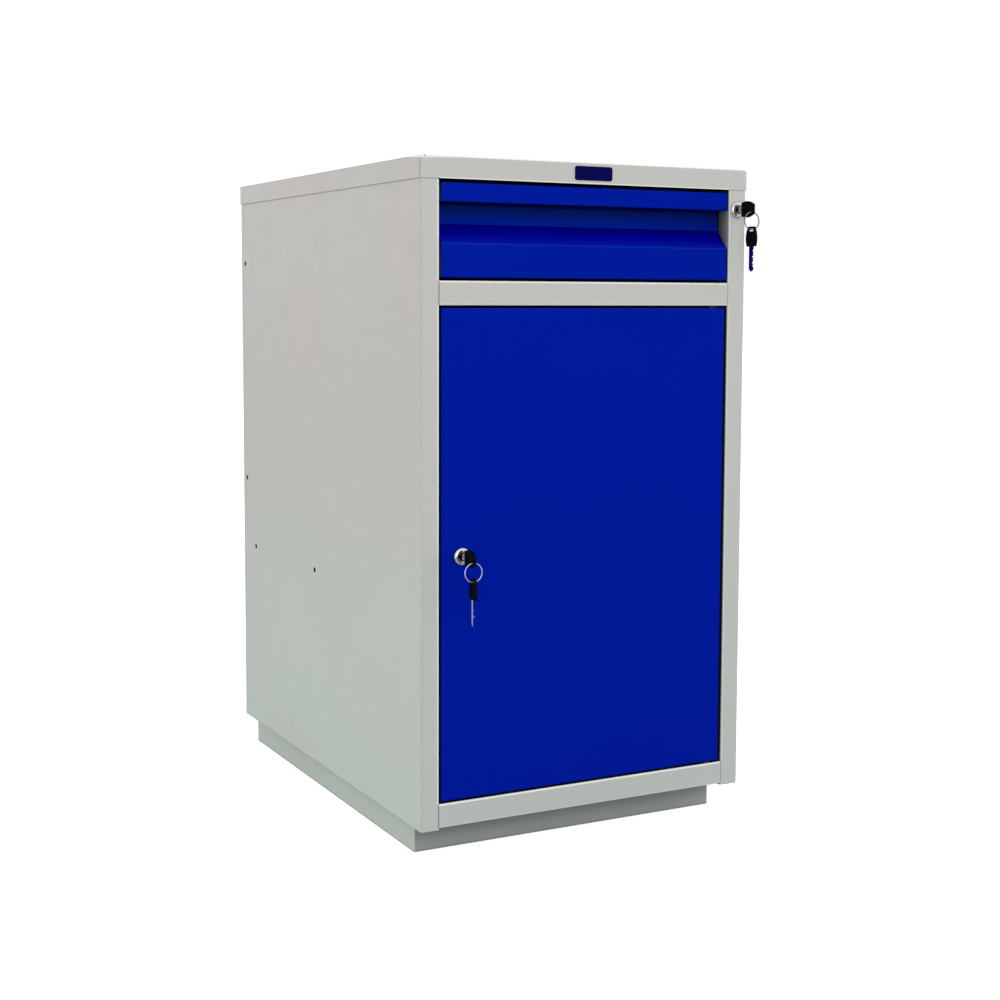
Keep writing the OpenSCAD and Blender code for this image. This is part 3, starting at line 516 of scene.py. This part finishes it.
def dark(level):
    """What a face with painted shade has in the attributes of painted highlight and painted shade."""
    return 0.0, level


def mark_faces(bm, rule=lambda normal, centre: PLAIN, grooves=()):
    """Writes a bend's painted highlight and a face's painted shade, both from 0 to 1, which the coats read.
    """
    fold = bm.faces.layers.float.get("fold") or bm.faces.layers.float.new("fold")
    shade = bm.faces.layers.float.get("shade") or bm.faces.layers.float.new("shade")
    for face in bm.faces:
        face.smooth = True
        face[fold], face[shade] = rule(face.normal, face.calc_center_median())
    for face in grooves:
        if face.is_valid:
            face[fold], face[shade] = dark(GROOVE_SHADE)


def new_piece(name, bm, label, material=None):
    """A piece with that mesh, which rides with the CAD node called label and has its slot."""
    mesh = bpy.data.meshes.new(name)
    bm.to_mesh(mesh)
    bm.free()
    mesh.materials.append(material or finishes[slot_of[label]])
    piece = bpy.data.objects.new(name, mesh)
    bpy.context.scene.collection.objects.link(piece)
    piece.modifiers.new("even_shading", "WEIGHTED_NORMAL").keep_sharp = True
    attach(piece, nodes[label]["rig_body"])
    return piece


def worked_copy(label, radius, segments=2, rule=lambda normal, centre: PLAIN, shape=None, lines=None,
                material=None):
    """A copy of a CAD node with rounded edges, which stands for that node.

    shape changes the mesh before its edges are rounded; lines presses grooves after and gives their faces.
    """
    bm = joined_copy(label)
    if shape:
        shape(bm)
    round_edges(bm, radius, segments)
    grooves = lines(bm) if lines else ()
    mark_faces(bm, rule, grooves)
    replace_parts(new_piece(label + "_worked", bm, label, material), label)


# Where each sheet's bends get a painted highlight and its faces painted shade, by a face's normal n and
# centre c

# Painted shade, nearly black, deep in the gaps
GAP_SHADE = 0.97
# A face that looks forwards by more than this lies flat in its front
FLAT = 0.995
# How far from an opening's side its bend reaches, and how far a hole's edge lies inside a side wall
BEND_REACH, WALL_SHEET = 2.5 * MM, 2.3 * MM
# Heights between which the side walls have their fixing holes
HOLES_LOW, HOLES_HIGH = 0.2, 0.66
# How deep the painted shade reaches in a gap, on the edges of the door and the drawer front, and on the right
# return
GAP_DEPTH = FRONT_Y + 11 * MM
LEAF_DEPTH = FRONT_Y + 5 * MM
RETURN_DEPTH = FRONT_Y + 20 * MM
# Where the left stile's painted highlight starts, and where the painted shade of the dark rims does: at the
# rear, on the plinth's foot and on the stiles' feet
HIGHLIGHT_EDGE = OPEN_LEFT - 2.6 * MM
REAR_LINE = cap_high.y - 8 * MM
FOOT_LINE = 2.2 * MM
STILE_FOOT = rail_low.z - 0.9 * MM
rails = [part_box(label) for label in ("bottom_rail", "mid_rail")]


def into_gap(forward, bend=1.0):
    """A bend from a front into a gap: painted highlight, then painted shade nearly black; forward is how far
    the face looks forwards.
    """
    if forward > FLAT:
        return PLAIN
    return bright(bend) if forward > 0.35 else dark(GAP_SHADE)


def beside_rail(z):
    """Whether a rail or the cap meets the stile at that height."""
    return z > cap_low.z - 1 * MM or any(low.z < z < high.z for low, high in rails)


def outer_stile(n, c, outward):
    """The outer corners of a side panel, with painted shade on the thin dark rims of its edges."""
    if outward > 0.05 and n.y > 0.05:
        return dark(0.3)
    if c.y > REAR_LINE and outward > 0.5:
        return dark(0.10)
    if c.z < STILE_FOOT and max(outward, -n.y) > 0.5:
        return dark(0.15)
    return dark(0.10) if outward > 0.05 and n.y < -0.05 else PLAIN


def in_hole(c):
    """Whether a place is in the sheet of a side wall, among its fixing holes."""
    if abs(c.x) <= abs(cap_low.x) - WALL_SHEET:
        return False
    return FRONT_Y + 30 * MM < c.y < REAR_LINE and HOLES_LOW < c.z < HOLES_HIGH


def left_stile(n, c):
    """The left side panel: its bend into the openings, the painted highlight on its front edge, and painted
    black shade in its holes.
    """
    if n.x > 0.05 and c.x > OPEN_LEFT - BEND_REACH and c.y < GAP_DEPTH:
        return dark(0.12) if beside_rail(c.z) else into_gap(-n.y)
    if n.y < -FLAT and c.x > HIGHLIGHT_EDGE and not beside_rail(c.z):
        return bright(0.7)
    if -0.97 < n.x < 0.5 and abs(n.z) < 0.999 and in_hole(c):
        return dark(1.0)
    return outer_stile(n, c, -n.x)


def right_stile(n, c):
    """The right side panel: the painted highlight on its bend, and painted shade on its return, darker
    inwards.
    """
    if n.x < -0.05 and c.x < OPEN_RIGHT + BEND_REACH and c.y < RETURN_DEPTH:
        if -n.y > 0.8:
            return PLAIN if beside_rail(c.z) or -n.y > FLAT else bright(0.6)
        if GRIP_EDGE < c.z < BAND_FOOT:
            return dark(min(0.80, 0.4 + (c.y - FRONT_Y) / (45 * MM)))
        if c.y >= GAP_DEPTH:
            return dark(0.8)
        return dark(0.5 if beside_rail(c.z) else 0.3 if -n.y > 0.4 else GAP_SHADE)
    if n.x > 0.05 and n.y < -0.05:
        return dark(0.15)
    return outer_stile(n, c, n.x)


def rail_front(n, c):
    """A rail's bends into the openings above and below it: painted highlight, then painted shade."""
    if abs(n.z) > 0.05 and n.y < 0.3 and c.y < GAP_DEPTH:
        return into_gap(-n.y, 1.0 if n.z > 0 else 0.7)
    return PLAIN


def leaf_edge(n, c):
    """The bends round the door and the start of its left return, with the gaps' painted shade and a faint
    painted highlight on top.
    """
    forward, leftward = -n.y, -n.x
    if forward > FLAT or (forward < 0.05 and (leftward < 0.3 or c.y > LEAF_DEPTH)):
        return PLAIN
    if forward > 0.8:
        return bright(0.25) if n.z > 0.05 else dark(0.15)
    return dark(0.76 if forward > 0.5 and leftward > 0.3 else GAP_SHADE)


def drawer_bends(n, c):
    """The drawer front: the painted highlight on the bend below its grip, and the gaps' painted shade on its
    edges.
    """
    if n.z > 0.05 and 0.5 < -n.y < FLAT and c.z < BAND_FOOT - 5 * MM:
        return bright(0.7) if c.y < FRONT_Y + 1.2 * MM else PLAIN
    in_gap = max(abs(n.x), abs(n.z)) > 0.9 and c.y < (GAP_DEPTH if n.z < -0.9 else LEAF_DEPTH)
    return dark(GAP_SHADE) if in_gap and (n.y < -0.05 or min(n.x, n.z) < -0.9) else PLAIN


def cap_bends(n, c):
    """The cap: its painted glare, painted highlights on its front skirt's bends, and painted shade at the
    notch on its left corner and along its edges.
    """
    in_notch = n.z > 0.2 and NOTCH[0] < c.x < NOTCH[1]
    if c.z > cap_low.z + 15 * MM and (n.x < -0.1 or n.y < -0.1) and in_glare(n, c) and not in_notch:
        return bright(1.0)
    over_opening = OPEN_LEFT < c.x < OPEN_RIGHT
    if n.y < -0.05 and c.y < cap_low.y + 2.5 * MM:
        if in_notch:
            return dark(0.6)
        if n.z > 0.35 or (over_opening and c.z < SKIRT_BEND):
            return bright(1.0)
        if abs(n.x) > 0.45:
            return dark(0.22)
    if n.z < -0.5 and over_opening and c.y < GAP_DEPTH:
        return dark(0.95)
    return dark(0.15) if abs(n.x) > 0.1 and n.z > 0.1 else PLAIN


def plinth_bends(n, c):
    """The plinth: its front corners with a faint painted highlight, and painted shade along its foot."""
    if 0.1 < -n.y < 0.99 and abs(n.z) < 0.1:
        return bright(0.12)
    return dark(0.16) if abs(n.z) < 0.1 and c.z < FOOT_LINE else PLAIN


# The glare is a painted highlight, a wedge of light at the cap's left front corner, which runs out along both
# skirts

GLARE_BACK, GLARE_ACROSS = cap_low.y + 40 * MM, cap_low.x + 80 * MM
CORNER = (cap_low.x, cap_low.y, cap_high.z - 3.2 * MM)
# The notch at the cap's left corner is only painted shade, a dark spot on the front's top bend
NOTCH = (cap_low.x + 4.6 * MM, cap_low.x + 6.8 * MM)
SKIRT_BEND = cap_low.z + 1.2 * MM


def slanted(low_place, high_place, axis):
    """A plane through two places and along an axis, as a place and a direction across it."""
    rise = Vector(high_place) - Vector(low_place)
    across = rise.cross(along(axis)).normalized()
    return Vector(low_place), across if across.z > 0 else -across


GLARES = (slanted(CORNER, (cap_low.x, GLARE_BACK, cap_high.z), X),
          slanted(CORNER, (GLARE_ACROSS, cap_low.y, cap_high.z), Y))


def in_glare(n, c):
    """Whether a face lies in the painted glare."""
    place, across = GLARES[0 if abs(n.x) > abs(n.y) else 1]
    return c.x < 0 and n.x < 0.5 and (c - place).dot(across) > 0


# Cuts and grooves that the rules need

def cap_corners(bm):
    """Cuts that end the cap's painted highlights, its painted glare and its painted notch; the right corner
    falls away a little.
    """
    cut_across(bm, X, (*NOTCH, OPEN_LEFT, OPEN_RIGHT, cap_high.x - 5 * MM))
    cut_across(bm, Y, (cap_low.y + 5 * MM, GLARE_BACK))
    cut_across(bm, Z, [SKIRT_BEND], lambda face: face.normal.y < -0.9)
    for place, across in GLARES:
        near = [f for f in bm.faces if f.calc_center_median().y < GLARE_BACK and f.normal.z > -0.5
                and (f.normal.y < -0.1 or f.normal.x < -0.1)]
        cut_faces(bm, near, place, across)
    for v in bm.verts:
        side, back = cap_high.x - v.co.x, v.co.y - cap_low.y
        if v.co.z > cap_high.z - 3 * MM and side < 3 * MM and back < 4 * MM:
            v.co.z -= 1.0 * MM


def gap_cuts(bm):
    """Cuts where the painted shade in a gap ends."""
    cut_across(bm, Y, [LEAF_DEPTH, GAP_DEPTH])


def stile_cuts(bm):
    """Cuts where a stile's painted highlight and painted shade change: at the rails, at the grip and down its
    return.
    """
    def near_front(face):
        return face.calc_center_median().y < RETURN_DEPTH and abs(face.normal.z) < 0.5
    cut_across(bm, Y, [FRONT_Y + depth * MM for depth in (4, 7.5, 11, 14.5)] + [REAR_LINE])
    heights = [z for low, high in rails for z in (low.z, high.z)] + [GRIP_EDGE, BAND_FOOT]
    cut_across(bm, Z, heights, near_front)
    cut_across(bm, Z, [STILE_FOOT])
    cut_across(bm, X, [HIGHLIGHT_EDGE], near_front)


def under_cap(bm):
    """A groove right under the cap on each side panel, which the coat paints dark as a shadow line."""
    def outside(face):
        n, c = face.normal, face.calc_center_median()
        wall = abs(n.x) > 0.1 and abs(c.x) > cap_high.x - 3.4 * MM and n.x * c.x > 0
        return wall or (n.y < -0.1 and c.y < FRONT_Y + 2.1 * MM)
    return press_line(bm, Z, cap_low.z - 0.85 * MM, cap_low.z - 0.02 * MM, outside, 0.5 * MM)


def skirt_seams(bm):
    """The open seams where the side skirts meet the front and rear skirts, pressed in and painted dark as
    shade.
    """
    def skirt(face):
        n, c = face.normal, face.calc_center_median()
        return abs(n.x) > 0.99 and n.x * c.x > 0 and abs(c.x) > cap_high.x - 0.5 * MM
    return [face for place in (cap_low.y + 2.1 * MM, cap_high.y - 2.6 * MM)
            for face in press_line(bm, Y, place, place + 0.5 * MM, skirt, 0.6 * MM)]


# The sheets

SHEET_EDGE, SLIDE_EDGE, SCREW_EDGE, PLATE_EDGE = 0.25 * MM, 0.2 * MM, 0.45 * MM, 0.15 * MM
worked_copy("left_side_panel", SHEET_EDGE, rule=left_stile, shape=stile_cuts, lines=under_cap)
worked_copy("right_side_panel", SHEET_EDGE, rule=right_stile, shape=stile_cuts, lines=under_cap)
worked_copy("top_cap", SHEET_EDGE, rule=cap_bends, shape=cap_corners, lines=skirt_seams)
worked_copy("plinth", SHEET_EDGE, rule=plinth_bends, shape=lambda bm: cut_across(bm, Z, [FOOT_LINE]))
for label in ("bottom_rail", "mid_rail"):
    worked_copy(label, SHEET_EDGE, rule=rail_front, shape=gap_cuts)
worked_copy("door_panel", SHEET_EDGE, rule=leaf_edge, shape=gap_cuts)
worked_copy("drawer_front", SHEET_EDGE, rule=drawer_bends, material=BLUE_WITH_GRIP_SHADE, shape=gap_cuts)
for label in ("back_panel", "bottom_panel", "divider_panel", "shelf", "shelf_bearers", "slide_bracket_left",
              "slide_bracket_right", "drawer_liner", "drawer_tray", "drawer_back", "door_stiffener"):
    worked_copy(label, SHEET_EDGE)
for label in ("slide_outer_left", "slide_outer_right", "slide_middle_left", "slide_middle_right",
              "slide_inner_left", "slide_inner_right"):
    worked_copy(label, SLIDE_EDGE)
worked_copy("drawer_screws", SCREW_EDGE, 3)
worked_copy("name_plate", PLATE_EDGE)


# Locks and keys

def centre_of(label):
    """The middle of a CAD node's box."""
    low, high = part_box(label)
    return (low + high) / 2


def ring_profile(points, centre):
    """A closed outline of (radius, depth) points round an axis along Y, as edges ready to spin."""
    bm = bmesh.new()
    verts = [bm.verts.new((centre.x + r * MM, FRONT_Y + y * MM, centre.z)) for r, y in points]
    for first, second in zip(verts, verts[1:] + verts[:1]):
        bm.edges.new((first, second))
    return bm


def spin_round(bm, centre, steps):
    """Turns an outline once round an axis along Y and closes it."""
    bmesh.ops.spin(bm, geom=bm.verts[:] + bm.edges[:], cent=centre, axis=(0, 1, 0), angle=math.tau,
                   steps=steps, use_merge=True)
    bmesh.ops.remove_doubles(bm, verts=bm.verts, dist=1e-6)
    bmesh.ops.recalc_face_normals(bm, faces=bm.faces)


def lock_barrel(lock):
    """The domed bezel and threaded barrel; its outline has places as (radius, depth) in millimetres."""
    label = lock + "_lock_housing"
    centre = centre_of(label)
    crest, root, length = 7.2, 6.85, 20.8
    dome = [(9.5, 0.0), (9.5, -0.7), (9.3, -1.35), (8.8, -2.05), (8.1, -2.6), (7.3, -2.9), (6.5, -3.0),
            (5.35, -3.0), (5.12, -2.9), (5.05, -2.7)]
    bore = [(5.05, length)]
    thread = [(root, length)]
    for turn in range(17):
        thread += [(crest, 19.9 - turn), (crest, 19.7 - turn), (root, 19.4 - turn)]
    neck = [(crest, 2.6), (crest, 0.0)]
    bm = ring_profile(dome + bore + thread + neck, centre)
    spin_round(bm, centre, 64)
    mark_faces(bm)
    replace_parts(new_piece(label + "_turned", bm, label), label)


def shade_disc(lock):
    """A black disc over the middle of the plug's face, round the key's blade: painted shade standing for the
    dark hollow at the plug.
    """
    label = lock + "_lock_plug"
    centre = centre_of(label)
    front = (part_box(label)[0].y - FRONT_Y) / MM
    face, back, rim = front - 0.25, front + 0.3, 4.7
    disc = [(0.01, face), (rim - 0.2, face), (rim, face + 0.2), (rim, back), (0.01, back)]
    bm = ring_profile(disc, centre)
    spin_round(bm, centre, 48)
    mark_faces(bm)
    new_piece(lock + "_plug_shade_disc", bm, label, finishes["black_plastic"])


RING_STEPS = 96
# How wide each ring's wire is for its thickness; the door's ring is the thinner one
RING_FLATNESS = {"drawer": 1.9, "door": 1.4}


def split_ring(lock):
    """Two turns of flat wire side by side."""
    label = lock + "_key_ring"
    centre = centre_of(label)
    low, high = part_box(label)
    wire = (high.y - low.y) / 4
    flat = RING_FLATNESS[lock]
    radius = (high.x - low.x) / 2 - (flat + 0.1) * wire
    bm = bmesh.new()
    start = Matrix.Translation(centre + Vector((radius, -wire, 0)))
    section = start @ Matrix.Diagonal((flat, 0.96, 1.0, 1.0))
    bmesh.ops.create_circle(bm, cap_ends=True, segments=16, radius=wire, matrix=section)
    bmesh.ops.spin(bm, geom=bm.faces[:], cent=centre, axis=(0, 1, 0), dvec=(0, wire / RING_STEPS, 0),
                   angle=2 * math.tau, steps=2 * RING_STEPS, use_merge=False)
    bmesh.ops.recalc_face_normals(bm, faces=bm.faces)
    mark_faces(bm)
    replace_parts(new_piece(label + "_split", bm, label, RING_STEELS[lock]), label)


def flat_of_key(face):
    """Whether a face is on one of a key's two broad sides."""
    return abs(face.normal.x) > 0.98


def key_head(label, eye, across):
    """A moulded head with a shallow panel sunk into both sides; eye, +1 or -1, is the end with its eye."""
    low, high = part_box(label)
    lengthwise = Y + Z - across
    eye_margin, blade_margin, half_width = 8 * MM, 2 * MM, 5 * MM
    near = low[lengthwise] + (blade_margin if eye > 0 else eye_margin)
    far = high[lengthwise] - (eye_margin if eye > 0 else blade_margin)
    middle = (low[across] + high[across]) / 2

    def panels(bm):
        cut_across(bm, lengthwise, (near, far), flat_of_key)
        cut_across(bm, across, (middle - half_width, middle + half_width), flat_of_key)
        panel = [f for f in bm.faces if flat_of_key(f) and near < f.calc_center_median()[lengthwise] < far
                 and abs(f.calc_center_median()[across] - middle) < half_width]
        walls = sink(bm, panel, 0.25 * MM, 0.3 * MM)
        return panel + walls
    worked_copy(label, 0.45 * MM, 3, lines=panels)


def key_blade(label, across, material=None):
    """A blade with the warding groove milled along both sides."""
    middle = centre_of(label)[across]

    def warding(bm):
        return press_line(bm, across, middle - 0.9 * MM, middle + 0.2 * MM, flat_of_key, 0.4 * MM, 0.08 * MM)
    worked_copy(label, 0.12 * MM, material=material, lines=warding)


for lock in ("drawer", "door"):
    lock_barrel(lock)
    shade_disc(lock)
    split_ring(lock)
    worked_copy(lock + "_lock_plug", 0.2 * MM)
    worked_copy(lock + "_lock_cam", 0.3 * MM, 3)
    worked_copy(lock + "_lock_nut", 0.3 * MM)
    worked_copy(lock + "_cam_nut", 0.25 * MM)
    key_head(lock + "_key_head", -1, Z)
    key_blade(lock + "_key_blade", Z, KEY_STEEL)
    key_head(lock + "_spare_head", 1, Y)
    key_blade(lock + "_spare_blade", Y)


# Floor, light and camera

def softbox(name, place, aim, size, power):
    """A soft rectangular light that looks from its place at its aim."""
    lamp = bpy.data.lights.new(name, "AREA")
    lamp.shape = "RECTANGLE"
    lamp.size, lamp.size_y = size
    lamp.energy = power
    box = bpy.data.objects.new(name, lamp)
    bpy.context.scene.collection.objects.link(box)
    box.location = place
    box.rotation_euler = (Vector(aim) - Vector(place)).to_track_quat("-Z", "Y").to_euler()


def camera_share(tree, unseen, seen):
    """A strength with one value for light and reflections, and one where the camera looks straight at it."""
    path = tree.nodes.new("ShaderNodeLightPath")
    return spread(tree, path.outputs["Is Camera Ray"], 0.0, 1.0, unseen, seen)


def studio_floor():
    """A plain pale floor."""
    bm = bmesh.new()
    bmesh.ops.create_grid(bm, x_segments=1, y_segments=1, size=20.0)
    mesh = bpy.data.meshes.new("floor")
    bm.to_mesh(mesh)
    bm.free()
    pale = Finish("studio_floor", Roughness=0.9, Specular_IOR_Level=0.0, Emission_Color=(1.0, 1.0, 1.0, 1.0))
    patches = pale.effect(tone_drift, Patches_per_metre=1.0)
    pale.colour(pale.blend(patches, (0.41, 0.41, 0.41), (0.43, 0.43, 0.43)))
    pale.tree.links.new(camera_share(pale.tree, 0.0, 0.86), pale.shader.inputs["Emission Strength"])
    mesh.materials.append(pale.material)
    floor = bpy.data.objects.new("floor", mesh)
    bpy.context.scene.collection.objects.link(floor)


def studio_air():
    """Even white surroundings, the whole studio's bounce."""
    world = bpy.data.worlds.new("studio")
    world.use_nodes = True
    air = world.node_tree.nodes["Background"]
    air.inputs["Color"].default_value = (1.0, 1.0, 1.0, 1.0)
    world.node_tree.links.new(camera_share(world.node_tree, 1.0, 1.05), air.inputs["Strength"])
    bpy.context.scene.world = world


# The camera was fitted to the cabinet's edges in the photograph: place in metres, angles in degrees, lens in
# millimetres, shift in widths of the frame
CAMERA_PLACE = (-0.89983, -1.79118, 0.58933)
CAMERA_AZIMUTH, CAMERA_ELEVATION, CAMERA_ROLL = -27.445, 4.852, 0.192
CAMERA_LENS, CAMERA_SHIFT = 59.001, (0.00474, -0.06200)


def studio_camera():
    """The photograph's viewing angle and frame."""
    azimuth, elevation, roll = (math.radians(a) for a in (CAMERA_AZIMUTH, CAMERA_ELEVATION, CAMERA_ROLL))
    back = Vector((math.sin(azimuth) * math.cos(elevation), -math.cos(azimuth) * math.cos(elevation),
                   math.sin(elevation)))
    right = (-back).cross(Vector((0, 0, 1))).normalized()
    up = right.cross(-back)
    across = math.cos(roll) * right + math.sin(roll) * up
    upright = -math.sin(roll) * right + math.cos(roll) * up
    data = bpy.data.cameras.new("camera")
    data.lens, data.sensor_width = CAMERA_LENS, 36.0
    data.shift_x, data.shift_y = CAMERA_SHIFT
    data.clip_end = 100.0
    camera = bpy.data.objects.new("camera", data)
    bpy.context.scene.collection.objects.link(camera)
    turn = Matrix((across, upright, back)).transposed().to_4x4()
    camera.matrix_world = Matrix.Translation(CAMERA_PLACE) @ turn
    bpy.context.scene.camera = camera


studio_floor()
studio_air()
softbox("front_softbox", (-0.9, -3.2, 0.9), (0, 0, 0.4), (2.0, 1.6), 18)
softbox("left_softbox", (-3.2, -0.2, 1.3), (0, 0, 0.5), (0.9, 0.6), 2.7)
softbox("left_low_softbox", (-1.5, 0.1, 0.1), (0, 0.1, 0.1), (1.6, 0.15), 3.4)
softbox("right_softbox", (2.6, -1.4, 1.0), (0, 0, 0.4), (1.6, 1.6), 11.5)
bpy.context.scene.view_settings.view_transform = "Standard"
studio_camera()
